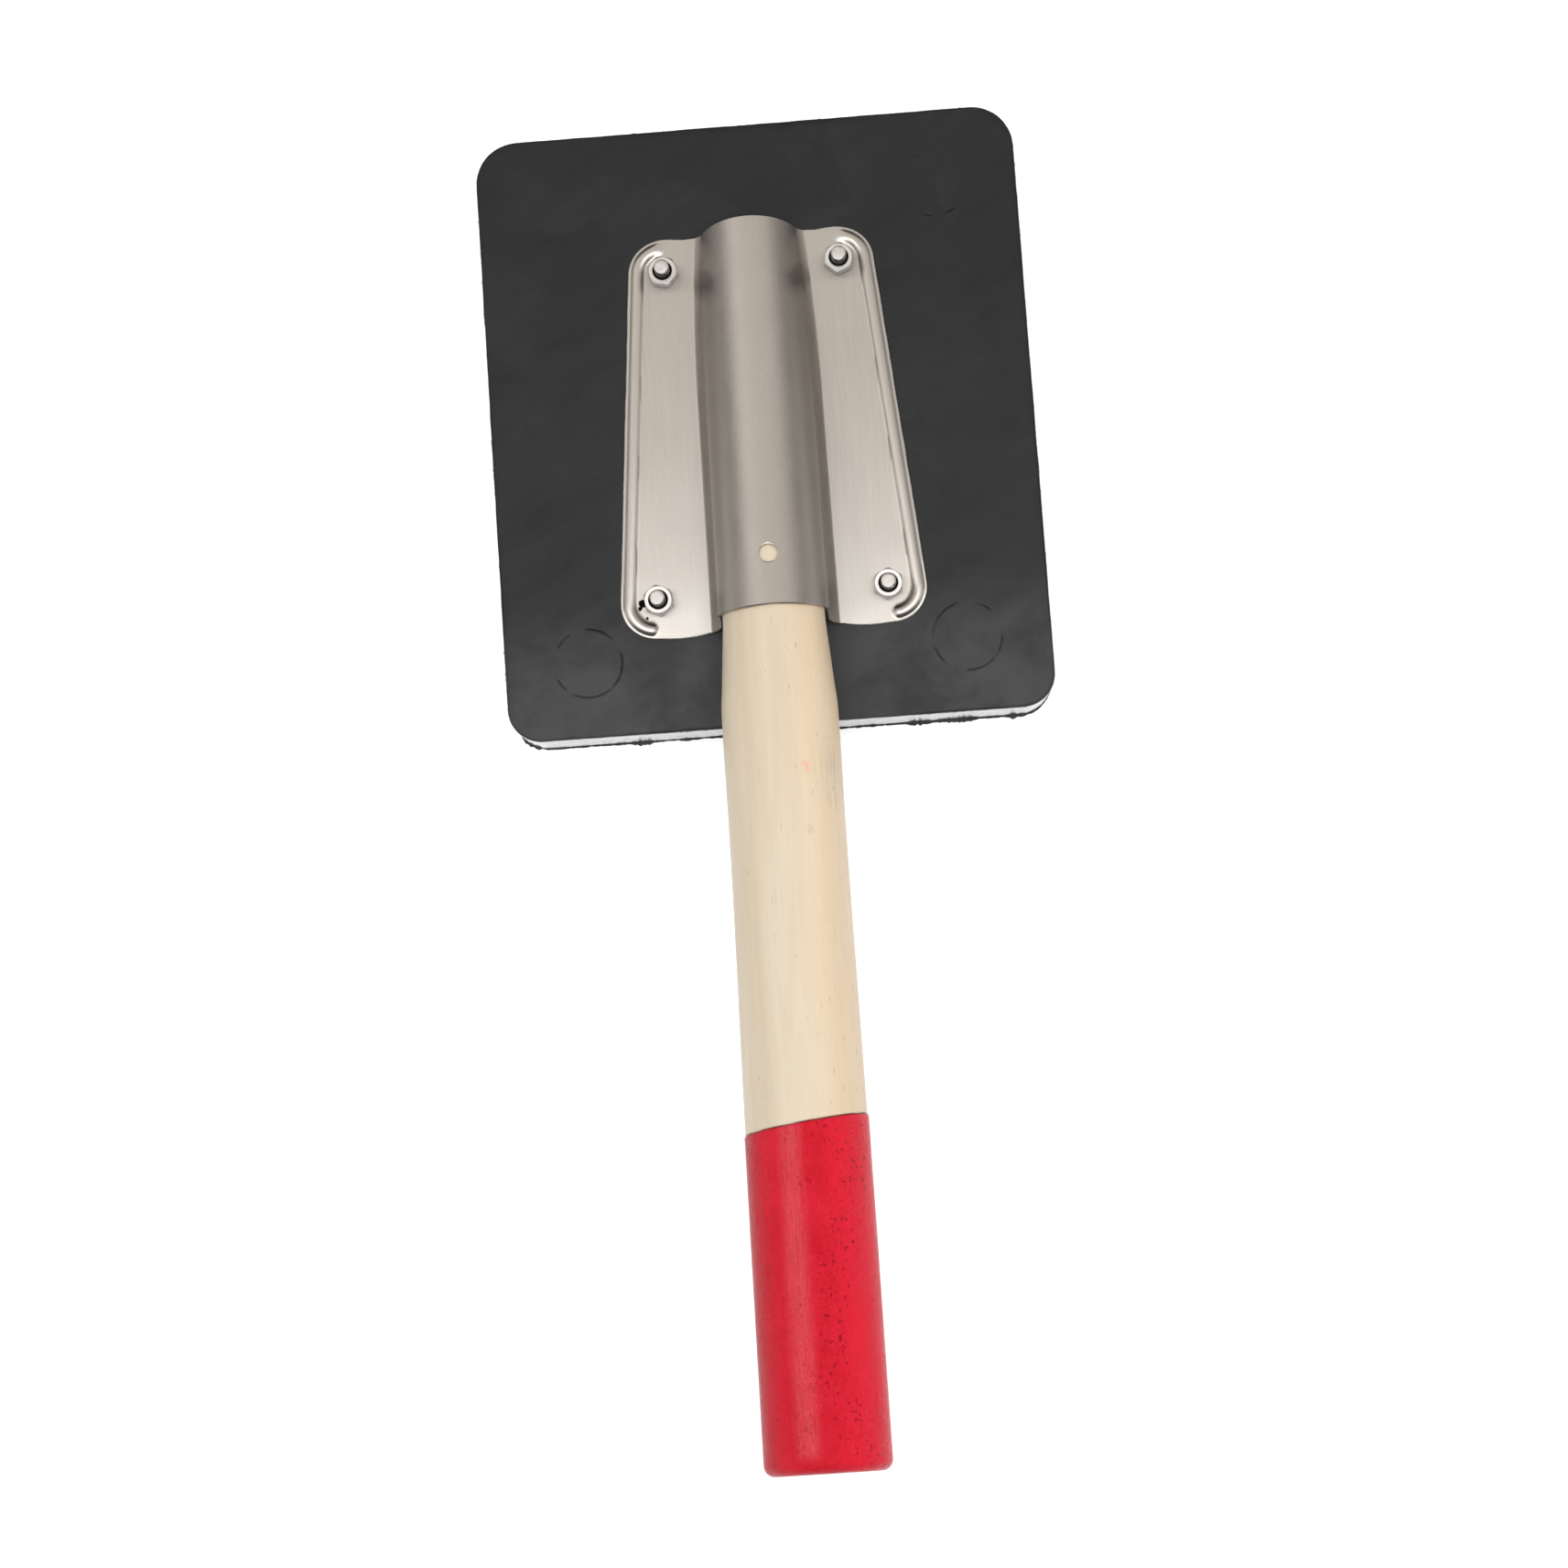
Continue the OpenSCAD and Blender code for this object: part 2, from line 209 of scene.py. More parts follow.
class Shader:
    """A material with one Principled shader, and short calls that add and link nodes.
    A socket is named with underscores in place of its spaces."""

    def __init__(self, name, **sockets):
        self.material = bpy.data.materials.new(name)
        self.material.use_nodes = True
        self.tree = self.material.node_tree
        self.principled = self.tree.nodes["Principled BSDF"]
        self.wire(**sockets)

    def set(self, node, key, value):
        """Links a node's socket to another socket, or gives it a value."""
        socket = node.inputs[key]
        if isinstance(value, bpy.types.NodeSocket):
            self.tree.links.new(value, socket)
        else:
            socket.default_value = value

    def node(self, kind, inputs=(), **settings):
        """A new node with its settings made and its inputs linked or filled."""
        node = self.tree.nodes.new("ShaderNode" + kind)
        for key, value in settings.items():
            setattr(node, key, value)
        for key, value in dict(inputs).items():
            self.set(node, key, value)
        return node

    def local_mm(self, origin=(0, 0, 0), turn=(0, 0, 0), stretch=(1, 1, 1)):
        """Coordinates in mm in a frame at origin, turned, and divided by stretch."""
        position = self.node("TexCoord").outputs["Object"]
        start = tuple(MM * o for o in origin)
        scale = tuple(MM * s for s in stretch)
        return self.node("Mapping", {"Vector": position, "Location": start, "Rotation": turn,
                                     "Scale": scale}, vector_type="TEXTURE").outputs[0]

    def handle_mm(self, stretch=(1, 1, 1)):
        """Coordinates in the handle's frame: across, up, and along from the socket's mouth."""
        return self.local_mm(MOUTH, (math.pi / 2 - TILT, 0, 0), stretch)

    def past_coat_edge(self):
        """How far a point lies past the coat's slanted edge, in mm along the handle."""
        across, up, along = self.node("SeparateXYZ", {0: self.handle_mm()}).outputs
        sideways = self.math("MULTIPLY", across, -COAT_SKEW)
        upwards = self.math("MULTIPLY", up, COAT_RISE)
        edge = self.math("ADD", sideways, upwards)
        return self.math("SUBTRACT", self.math("SUBTRACT", along, edge), COAT_START)

    def spot(self, vector, centre, radius):
        """1 at the centre, falling to 0 at radius."""
        apart = self.node("VectorMath", {0: vector, 1: centre}, operation="DISTANCE")
        return self.ramp(apart.outputs["Value"], 0.0, radius, 1.0, 0.0)

    def noise(self, vector, scale=1.0, detail=2.0, roughness=0.5, distortion=0.0):
        """Noise around 0.5, with features about 1 / scale mm wide."""
        inputs = {"Vector": vector, "Scale": scale, "Detail": detail, "Roughness": roughness,
                  "Distortion": distortion}
        return self.node("TexNoise", inputs).outputs["Fac"]

    def ramp(self, value, low, high, to_low=0.0, to_high=1.0):
        """Takes value smoothly from low..high to to_low..to_high, and holds it outside."""
        inputs = {"Value": value, "From Min": low, "From Max": high, "To Min": to_low,
                  "To Max": to_high}
        return self.node("MapRange", inputs, interpolation_type="SMOOTHSTEP").outputs[0]

    def math(self, operation, a, b=0.0):
        """One step of arithmetic on sockets or numbers."""
        node = self.node("Math", operation=operation)
        self.set(node, 0, a)
        self.set(node, 1, b)
        return node.outputs[0]

    def mix(self, factor, a, b):
        """Colour a where factor is 0, and b where it is 1."""
        node = self.node("Mix", data_type="RGBA")
        self.set(node, 0, factor)
        self.set(node, 6, a if isinstance(a, bpy.types.NodeSocket) else (*a, 1))
        self.set(node, 7, b if isinstance(b, bpy.types.NodeSocket) else (*b, 1))
        return node.outputs[2]

    def bump(self, height, distance_mm, strength=1.0, normal=None):
        """A normal that follows height, added to the one given."""
        inputs = {"Height": height, "Distance": distance_mm * MM, "Strength": strength}
        if normal:
            inputs["Normal"] = normal
        return self.node("Bump", inputs).outputs[0]

    def wire(self, **sockets):
        """Links or fills the Principled shader's sockets, and gives the material."""
        for key, value in sockets.items():
            self.set(self.principled, key.replace("_", " "), value)
        return self.material


def rubber_material():
    """Dull black rubber with a patchy bloom, wipe marks, a few pale specks of dust, and a
    painted sheen towards the handle's end.
    """
    s = Shader("moulded_rubber", Specular_IOR_Level=0.25)
    p = s.local_mm()
    along = s.node("SeparateXYZ", {0: p}).outputs[1]
    cloud = s.noise(p, 1 / 26, 4, 0.6, 0.4)
    smear = s.noise(s.local_mm(turn=(0, 0, 0.5), stretch=(5, 1, 1)), 1 / 7, 3, 0.6)
    speck = s.noise(p, 1.6, 2, 0.6)
    bloom = s.math("MULTIPLY", s.ramp(cloud, 0.40, 0.64), s.ramp(smear, 0.3, 0.72))
    colour = s.mix(bloom, (0.0060, 0.0058, 0.0059), (0.0130, 0.0126, 0.0126))
    colour = s.mix(s.ramp(speck, 0.70, 0.80, 0, 0.4), colour, (0.07, 0.07, 0.068))
    # painted sheen: the pad is made paler towards the handle's end, broken up by the cloud noise
    near_sheen = s.math("MULTIPLY", s.ramp(along, -45, -72), s.ramp(cloud, 0.3, 0.6, 0.3, 1.0))
    colour = s.mix(s.math("MULTIPLY", near_sheen, 0.6), colour, (0.055, 0.053, 0.053))
    rough = s.ramp(smear, 0.25, 0.75, 0.44, 0.58)
    skin = s.bump(s.noise(p, 1.8, 3, 0.6), 0.05, 0.5, s.bump(cloud, 0.5, 0.15))
    return s.wire(Base_Color=colour, Roughness=rough, Normal=skin)


def rubber_side_material():
    """The pad's moulded sides, which are smooth and shiny where they touched the mould."""
    s = Shader("moulded_rubber_side", Specular_IOR_Level=0.1, Coat_Weight=1.0,
               Coat_Roughness=0.12)
    p = s.local_mm(stretch=(1, 1, 0.5))
    scuff = s.noise(p, 1 / 3, 4, 0.65)
    colour = s.mix(s.ramp(scuff, 0.4, 0.7), (0.0075, 0.0072, 0.0070), (0.016, 0.015, 0.0145))
    rough = s.ramp(scuff, 0.3, 0.7, 0.16, 0.34)
    return s.wire(Base_Color=colour, Roughness=rough, Normal=s.bump(scuff, 0.12, 0.35))


def steel_material(name, base, roughness, along=(1, 40, 1), steep_shade=1.0, marks=()):
    """Metal with fine scratches that run along the stretched axis, so that reflections
    spread across them. Steep walls get painted shade: their colour keeps only the given
    share of its brightness. Each mark, (centre, radius), is a crumb stuck to it."""
    s = Shader(name, Metallic=1.0)
    normal = s.node("NewGeometry").outputs["Normal"]
    lines = s.noise(s.local_mm(stretch=along), 2.6, 3, 0.65)
    cloud = s.noise(s.local_mm(), 1 / 14, 3, 0.6)
    facing = s.math("ABSOLUTE", s.node("SeparateXYZ", {0: normal}).outputs[2])
    # painted shade: steep faces are made darker than flat ones
    steep = s.ramp(facing, 0.70, 0.97, steep_shade, 1.0)
    shade = s.math("MULTIPLY", steep, s.ramp(lines, 0.25, 0.75, 0.94, 1.03))
    colour = s.node("Mix", {0: 1.0, 6: (*base, 1), 7: shade}, data_type="RGBA",
                    blend_type="MULTIPLY").outputs[2]
    worn = s.ramp(cloud, 0.3, 0.7, roughness, roughness + 0.04)
    rough = s.math("ADD", s.ramp(lines, 0.3, 0.7, -0.02, 0.02), worn)
    for centre, radius in marks:
        jagged = s.noise(s.local_mm(), 1.3, 3, 0.6)
        dirt = s.ramp(s.math("ADD", s.spot(s.local_mm(), centre, radius), jagged), 0.85, 0.95)
        colour = s.mix(dirt, colour, (0.01, 0.009, 0.008))
        rough = s.math("MAXIMUM", rough, s.math("MULTIPLY", dirt, 0.8))
    across = s.node("VectorMath", {0: normal, 1: (0, 1, 0)}, operation="CROSS_PRODUCT")
    brushed = along[1] > along[0]
    return s.wire(Base_Color=colour, Roughness=rough, Normal=s.bump(lines, 0.003, 0.5),
                  Anisotropic=0.85 if brushed else 0.0, Tangent=across.outputs[0])


def gap_shade_material():
    """Painted shade: a dark colour put in the gap between a stud and its nut, and under the nut."""
    s = Shader("thread_gap_shade", Metallic=0.6)
    gap_mottle = s.noise(s.local_mm(), 3.0, 3, 0.6)
    colour = s.mix(gap_mottle, (0.008, 0.007, 0.006), (0.03, 0.025, 0.02))
    rough = s.ramp(gap_mottle, 0.3, 0.7, 0.5, 0.8)
    return s.wire(Base_Color=colour, Roughness=rough, Normal=s.bump(gap_mottle, 0.1, 0.5))


# dark marks and flecks on the wood: centre in the handle's frame, radius, pattern, colour, strength
WOOD_MARKS = (
    ((14.4, 8, 47), 10, "grain", (0.46, 0.38, 0.27), 0.6),
    ((14.1, 8.5, 56), 5, "grain", (0.42, 0.34, 0.24), 0.6),
    ((6.4, 15.2, 47.2), 1.9, "fleck", (0.85, 0.20, 0.15), 0.6),
    ((6.8, 15.0, 49), 1.4, "fleck", (0.85, 0.25, 0.17), 0.5),
    ((6.4, 15.2, 65.5), 2.0, "fleck", (0.5, 0.36, 0.24), 0.6),
    ((-4, 15.9, 84), 4, "grain", (0.55, 0.44, 0.32), 0.5),
)


def wood_material():
    """Pale close-grained wood: broad bands, a warmer right side that is also painted lighter,
    fine pores, a few marks and flecks, and a dark line where the coat begins, partly paint
    soaked into the wood and partly painted shade."""
    s = Shader("bare_wood", Specular_IOR_Level=0.4)
    p = s.handle_mm()
    band = s.noise(s.handle_mm((1, 1, 14)), 1 / 8, 3, 0.55, 0.5)
    fine = s.noise(s.handle_mm((1, 1, 24)), 1.4, 4, 0.65)
    pore = s.noise(s.handle_mm((1, 1, 6)), 1.3, 2, 0.5)
    smudge = s.noise(p, 1 / 6, 4, 0.65)
    side = s.node("SeparateXYZ", {0: p}).outputs[0]
    colour = s.mix(s.ramp(band, 0.3, 0.7), (0.575, 0.468, 0.340), (0.625, 0.524, 0.398))
    # the right side: warmer wood, and painted light that makes it lighter
    colour = s.mix(s.ramp(side, -2, 11, 0, 0.6), colour, (0.82, 0.615, 0.412))
    colour = s.mix(s.ramp(fine, 0.42, 0.72, 0, 0.26), colour, (0.60, 0.45, 0.29))
    colour = s.mix(s.ramp(pore, 0.69, 0.76, 0, 0.55), colour, (0.40, 0.27, 0.17))
    colour = s.mix(s.ramp(smudge, 0.60, 0.78, 0, 0.3), colour, (0.55, 0.46, 0.36))
    fleck = s.noise(p, 0.9, 3, 0.7)
    for centre, radius, pattern, tone, amount in WOOD_MARKS:
        streaks = fine if pattern == "grain" else fleck
        broken = s.ramp(streaks, 0.42, 0.56, 0, amount)
        patch = s.math("MULTIPLY", s.spot(p, centre, radius), broken)
        colour = s.mix(patch, colour, tone)
    # the dark line where the coat begins: partly paint soaked into the wood, partly painted shade
    # at the coat's step
    rim = s.ramp(s.past_coat_edge(), -0.5, -0.1)
    rim = s.math("MULTIPLY", rim, s.ramp(smudge, 0.35, 0.55, 0.4, 0.9))
    colour = s.mix(rim, colour, (0.10, 0.02, 0.015))
    height = s.math("ADD", fine, s.math("MULTIPLY", pore, 0.5))
    rough = s.ramp(fine, 0.3, 0.7, 0.36, 0.5)
    return s.wire(Base_Color=colour, Roughness=rough, Normal=s.bump(height, 0.05, 0.3))


def coat_material():
    """Glossy dipped plastic: pinholes, small runs and wrinkles, painted light on its right side,
    painted shade on its left edge and along its rim, and a painted highlight stripe.
    """
    s = Shader("red_coat", Specular_IOR_Level=0.07, Coat_Roughness=0.24)
    p = s.handle_mm()
    side, _, along = s.node("SeparateXYZ", {0: p}).outputs
    grain = s.noise(s.handle_mm((1, 1, 10)), 1.3, 3, 0.6)
    cloud = s.noise(p, 1 / 9, 3, 0.6)
    wrinkle = s.noise(s.handle_mm((6, 6, 1)), 1.1, 3, 0.65)
    pinhole = s.ramp(s.noise(p, 1.1, 1, 0.4), 0.66, 0.74)
    # the coat is rougher in patches, most of all on the right
    where = s.ramp(s.noise(s.handle_mm((1, 1, 2.5)), 1 / 9, 2, 0.5), 0.42, 0.60)
    where = s.math("MULTIPLY", where, s.ramp(side, 0, 6, 0.4, 1.0))
    patchy = s.math("MULTIPLY", pinhole, where)
    colour = s.mix(s.ramp(cloud, 0.3, 0.7), (0.54, 0.008, 0.020), (0.60, 0.012, 0.028))
    # painted light: the right side is made lighter
    colour = s.mix(s.ramp(side, 1, 11), colour, (0.72, 0.014, 0.034))
    # painted shade: the left edge is made darker
    colour = s.mix(s.ramp(side, -10, -16.5, 0, 0.6), colour, (0.40, 0.006, 0.014))
    colour = s.mix(s.math("MULTIPLY", patchy, 0.75), colour, (0.22, 0.004, 0.006))
    # painted shade: darker along the coat's edge
    rim = s.ramp(s.past_coat_edge(), 0.1, 0.45, 0.8, 0.0)
    colour = s.mix(rim, colour, (0.14, 0.006, 0.006))
    height = s.math("ADD", s.math("MULTIPLY", grain, 0.6), s.noise(p, 0.8, 4, 0.65))
    height = s.math("ADD", height, s.math("MULTIPLY", s.math("MULTIPLY", wrinkle, where), 0.7))
    height = s.math("SUBTRACT", height, patchy)
    # a painted highlight: more clear coat in a stripe placed where the highlight falls, which stops
    # short of the end face
    offset = s.math("ABSOLUTE", s.math("ADD", side, 4.3))
    highlight_gloss = s.ramp(offset, 0.8, 4.6, 1.0, 0.0)
    highlight_gloss = s.math("MULTIPLY", highlight_gloss, s.ramp(grain, 0.3, 0.6, 0.6, 1.0))
    highlight_gloss = s.math("MULTIPLY", highlight_gloss, s.ramp(along, REACH - 6, REACH - 2, 1.0, 0.0))
    skin = s.bump(height, 0.8, 0.9)
    return s.wire(Base_Color=colour, Roughness=s.ramp(cloud, 0.3, 0.7, 0.16, 0.24),
                  Coat_Weight=highlight_gloss, Normal=skin, Coat_Normal=skin)


def floor_material():
    """A matt pale table that glows a little, so that it stays pale out to the horizon."""
    s = Shader("pale_floor", Roughness=0.9, Emission_Color=(1, 1, 1, 1),
               Emission_Strength=0.6)
    tone = s.noise(s.local_mm(), 1 / 90, 2, 0.5)
    return s.wire(Base_Color=s.mix(tone, (0.64, 0.64, 0.64), (0.67, 0.67, 0.67)))


# ---------------------------------------------------------------- pad

def pad_outline(inset, step=1.0):
    """Points around the pad's rounded outline, drawn in by inset, with their outward directions."""
    near, far = PAD_NEAR_CORNER, PAD_FAR_CORNER
    side, near_edge, far_edge = PAD_L - near - far, PAD_W - 2 * near, PAD_W - 2 * far
    points, outs = [], []
    for sx, sy, start, r, length in ((1, -1, -90, near, side), (1, 1, 0, far, far_edge),
                                     (-1, 1, 90, far, side), (-1, -1, 180, near, near_edge)):
        n_arc, n = int(r * math.pi / 2 / step), int(length / step)
        centre = np.array([sx * (PAD_W / 2 - r), sy * (PAD_L / 2 - r)])
        for k in range(n_arc + 1):
            a = math.radians(start + 90 * k / n_arc)
            outs.append(np.array([math.cos(a), math.sin(a)]))
            points.append(centre + (r - inset) * outs[-1])
        corner_end, out = points[-1], outs[-1]
        along = np.array([-out[1], out[0]])
        points += [corner_end + along * length * k / n for k in range(1, n)]
        outs += [out] * (n - 1)
    return np.array(points), np.array(outs)


PAD_EDGE_R = 0.9                       # rounding of the pad's top edge
RING_R = 10.0                          # the four round moulding marks
RING_X, RING_Y = 55.5, 68.0
RING_DEPTH = {(-1, -1): 0.30, (1, -1): 0.28, (-1, 1): 0.12, (1, 1): 0.22}
RING_BREAKS = {(-1, -1): 0.0, (1, -1): 0.05, (-1, 1): 0.55, (1, 1): 0.5}    # share missing
RING_LOOPS = (-1.2, -0.5, -0.3, -0.15, 0, 0.15, 0.3, 0.6, 1.2)    # where a mark has points


def pad_top_height(points):
    """How far the pad's top stands off its flat plane: soft waves, and the moulding marks."""
    p3 = np.column_stack([points, np.zeros(len(points))])
    height = 0.10 * wobble(p3, 34, 3.1) + 0.04 * wobble(p3, 9, 7.7)
    for (sx, sy), depth in RING_DEPTH.items():
        off = points - np.array([sx * RING_X, sy * RING_Y])
        rho = np.hypot(off[:, 0], off[:, 1])
        angle = np.arctan2(off[:, 1], off[:, 0])
        near = np.abs(rho - RING_R) < 1.2
        patches = np.zeros(len(points))
        level = np.full(len(points), sx + 3.0 * sy)
        around = np.column_stack([2.2 * np.cos(angle), 2.2 * np.sin(angle), level])
        missing = RING_BREAKS[sx, sy]
        patches[near] = smoothstep(missing - 0.35, missing + 0.1, wobble(around[near], 1.0, 5.5))
        groove = np.exp(-((rho - RING_R) / 0.2) ** 2)
        lip = np.exp(-((rho - RING_R - 0.45) / 0.3) ** 2)
        height += patches * depth * (0.35 * lip - groove)
        height -= 0.15 * depth * smoothstep(RING_R, RING_R - 1, rho)
    return height


def pad_sides():
    """Loops of points from the top's rim down to the working face, a little uneven."""
    arc_steps = 5
    loops = []                         # (inset, z)
    for k in range(arc_steps + 1):
        a = math.pi / 2 * k / arc_steps
        loops.append((PAD_EDGE_R * (1 - math.sin(a)), PAD_T - PAD_EDGE_R * (1 - math.cos(a))))
    loops += [(0, z) for z in np.linspace(PAD_T - PAD_EDGE_R - 1.5, 1.2, 7)]
    loops += [(0.15, 0.35), (0.6, 0.0)]
    rings = []
    for inset, z in loops:
        flat, outs = pad_outline(inset)
        p = np.column_stack([flat, np.full(len(flat), z)])
        drift = 0.10 * wobble(p, 7, 1.3) + 0.05 * wobble(p, 1.7, 2.9)
        if z > 0:
            p[:, :2] += outs * drift[:, None]
        rings.append(p)
    rings[0][:, 2] += pad_top_height(rings[0][:, :2])
    return rings


def pad_top_seeds(rim):
    """Flat points for the top's mesh: its rim, circles around each moulding mark, and a
    loose grid between them."""
    seeds = [tuple(q) for q in rim]
    for sx, sy in RING_DEPTH:
        for step in RING_LOOPS:
            rho = RING_R + step
            for a in np.linspace(0, 2 * math.pi, 120, endpoint=False):
                x, y = sx * RING_X + rho * math.cos(a), sy * RING_Y + rho * math.sin(a)
                seeds.append((x, y))
    spacing = 2.0
    for i, x in enumerate(np.arange(-PAD_W / 2 + 3, PAD_W / 2 - 2, spacing)):
        for y in np.arange(-PAD_L / 2 + 3 + (i % 2), PAD_L / 2 - 2, spacing):
            r = PAD_FAR_CORNER if y > 0 else PAD_NEAR_CORNER
            corner = math.hypot(max(0, abs(x) - PAD_W / 2 + r), max(0, abs(y) - PAD_L / 2 + r))
            from_rings = [abs(math.hypot(x - sx * RING_X, y - sy * RING_Y) - RING_R)
                          for sx, sy in RING_DEPTH]
            if min(from_rings) > 1.8 and corner < r - 2:
                seeds.append((x, y))
    return seeds


def build_pad(material, side_material):
    """The rubber pad: a softly uneven top with moulding marks, round edges and flat sides."""
    rings = pad_sides()
    n = len(rings[0])
    rim = [(k, (k + 1) % n) for k in range(n)]
    seeds = [Vector(q) for q in pad_top_seeds(rings[0][:, :2])]
    flat, _, tris, *_ = delaunay_2d_cdt(seeds, rim, [], 1, 1e-4)
    flat = np.array([tuple(q) for q in flat])
    top = np.column_stack([flat, PAD_T + pad_top_height(flat)])
    top[:n] = rings[0]
    faces = [tuple(t) for t in tris]
    start = len(top)
    faces += [(k, (k + 1) % n, start + (k + 1) % n, start + k) for k in range(n)]
    faces += grid_faces(len(rings) - 1, n, wrap_columns=True, start=start)
    last = start + (len(rings) - 2) * n
    faces.append(tuple(range(last, last + n)))
    pad = make_mesh("rubber_pad_body", np.vstack([top] + rings[1:]), faces, sharp_angle=60)
    return place(pad, material, "rubber", "rubber_pad", second=side_material,
                 where=lambda centre, normal: abs(normal.z) < 0.6)


def build_flash(name, z, reach_at, thickness, material):
    """A thin ragged lip of rubber around the pad at height z. reach_at gives how far it stands
    out at each point of the outline, and below zero it stays inside the pad."""
    flat, outs = pad_outline(0, step=0.45)
    p = np.column_stack([flat, np.full(len(flat), z)])
    out3 = np.column_stack([outs, np.zeros(len(outs))])
    reach = reach_at(p)[:, None]
    up = np.array([0, 0, 1.0])
    sag = 0.25 * wobble(p, 2.3, 8.1)[:, None] * np.clip(reach, 0, 1)
    root_top = p - 0.5 * out3 + thickness / 2 * up
    root_low = p - 0.5 * out3 - thickness / 2 * up
    tip_top = p + reach * out3 + (0.2 * thickness + sag) * up
    tip_low = p + reach * out3 + (-0.2 * thickness + sag) * up
    points = np.vstack([root_top, tip_top, tip_low, root_low])
    faces = grid_faces(4, len(p), wrap_rows=True, wrap_columns=True)
    lip = make_mesh(name, points, faces, sharp_angle=50)
    return place(lip, material, "rubber")


# torn flakes along the handle's side: x, half width, how far each stands out
FLAKES = ((-76, 3.5, 0.9), (-42, 4.5, 1.1), (-30, 2, 0.5), (-12, 2.5, 0.4),
          (40, 4, 0.9), (52, 8, 0.7), (69, 3, 0.8))


def lower_flash_reach(p):
    """Stands out all round the working edge, with a few torn flakes on the handle's side."""
    reach = 0.32 + 0.22 * wobble(p, 3.1, 4.4) + 0.18 * wobble(p, 0.9, 6.2)
    near_side = p[:, 1] < -PAD_L / 2 + 4
    for x, half, amount in FLAKES:
        flake = np.clip(1 - ((p[:, 0] - x) / half) ** 2, 0, 1) * near_side
        reach += amount * flake * (0.6 + 0.7 * wobble(p, 0.8, x))
    return reach


def upper_flash_reach(p):
    """Mostly hidden, with short shreds here and there under the top edge."""
    return -0.10 + 0.22 * wobble(p, 4.0, 9.4) + 0.28 * np.clip(wobble(p, 0.8, 1.9), 0, 1)


# ---------------------------------------------------------------- socket bracket

SIDE_SLOPE = (FLANGE_NEAR_W - FLANGE_FAR_W) / 2 / (FLANGE_FAR_Y - FLANGE_NEAR_Y)
SIDE_SLANT = math.atan(SIDE_SLOPE)
# the bead is drawn a little wider and further in than the CAD has it
BEAD_INSET, BEAD_HALF, BEAD_RISE = 2.45, 1.9, 0.85
FAR_CURL, NEAR_CURL = math.radians(88), math.radians(78)     # how far it turns in at its ends


def side_x(y):
    """Where the flange's straight side lies at y."""
    return FLANGE_FAR_W / 2 + (FLANGE_FAR_Y - y) * SIDE_SLOPE


def flange_corner(end):
    """Centre of a flange's round corner: end is +1 at the far edge, -1 at the near one."""
    y = FLANGE_FAR_Y - FLANGE_R if end > 0 else FLANGE_NEAR_Y + FLANGE_R
    return np.array([side_x(y) - FLANGE_R / math.cos(SIDE_SLANT), y])


def flange_half_width(y):
    """Half width of the flanges at y, round corners included."""
    for end in (1, -1):
        centre = flange_corner(end)
        beyond = (y - centre[1]) * end
        if beyond > FLANGE_R * math.sin(SIDE_SLANT) * end:
            return centre[0] + math.sqrt(max(0, FLANGE_R ** 2 - beyond ** 2))
    return side_x(y)


def bead_distance(x, y):
    """Distance from each point to the middle line of the bead on its side."""
    x = np.abs(x)
    best = np.full(x.shape, 1e9)
    r = FLANGE_R - BEAD_INSET
    ends = {}
    for end, low, high in ((1, SIDE_SLANT, FAR_CURL), (-1, -NEAR_CURL, SIDE_SLANT)):
        cx, cy = flange_corner(end)
        angle = np.arctan2(y - cy, x - cx)
        on_arc = (angle >= low) & (angle <= high)
        best = np.where(on_arc, np.minimum(best, np.abs(np.hypot(x - cx, y - cy) - r)), best)
        tip = high if end > 0 else low
        best = np.minimum(best, np.hypot(x - cx - r * math.cos(tip), y - cy - r * math.sin(tip)))
        ends[end] = np.array([cx + r * math.cos(SIDE_SLANT), cy + r * math.sin(SIDE_SLANT)])
    run = ends[1] - ends[-1]
    t = np.clip(((x - ends[-1][0]) * run[0] + (y - ends[-1][1]) * run[1]) / (run @ run), 0, 1)
    return np.minimum(best, np.hypot(x - ends[-1][0] - t * run[0], y - ends[-1][1] - t * run[1]))


